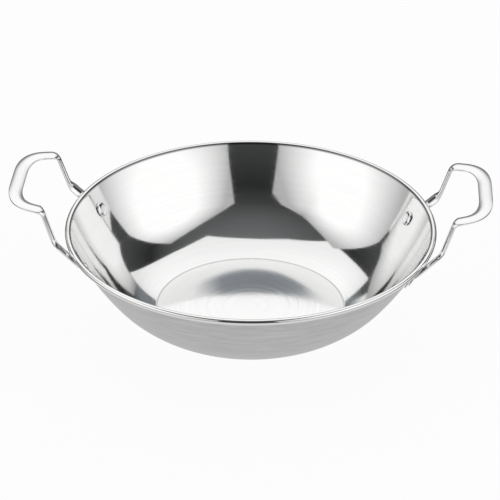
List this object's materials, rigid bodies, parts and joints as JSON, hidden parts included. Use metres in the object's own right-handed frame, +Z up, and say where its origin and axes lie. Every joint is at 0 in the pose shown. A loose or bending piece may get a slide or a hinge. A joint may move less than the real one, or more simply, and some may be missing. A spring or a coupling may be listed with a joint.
{
  "type": "two-handled pan",
  "caption": "Round stainless steel pan with a curved wall, flat base, curled rim and riveted raised loop handles, for cooking and serving.",
  "frame": {"origin": "centre of the base's underside, on the surface that the pan stands on", "axes": "+X from one handle to the other, +Y to the rear, +Z up along the bowl's axis"},
  "size_m": [0.3852, 0.3, 0.1154],
  "materials": {
    "bowl_steel": "satin",
    "handle_steel": "polished",
    "rivet_steel": "polished"
  },
  "bodies": {
    "root": {"bowl": "bowl_steel", "right_handle": "handle_steel", "left_handle": "handle_steel", "right_rear_rivet": "rivet_steel", "right_front_rivet": "rivet_steel", "left_rear_rivet": "rivet_steel", "left_front_rivet": "rivet_steel"}
  },
  "joints": []
}
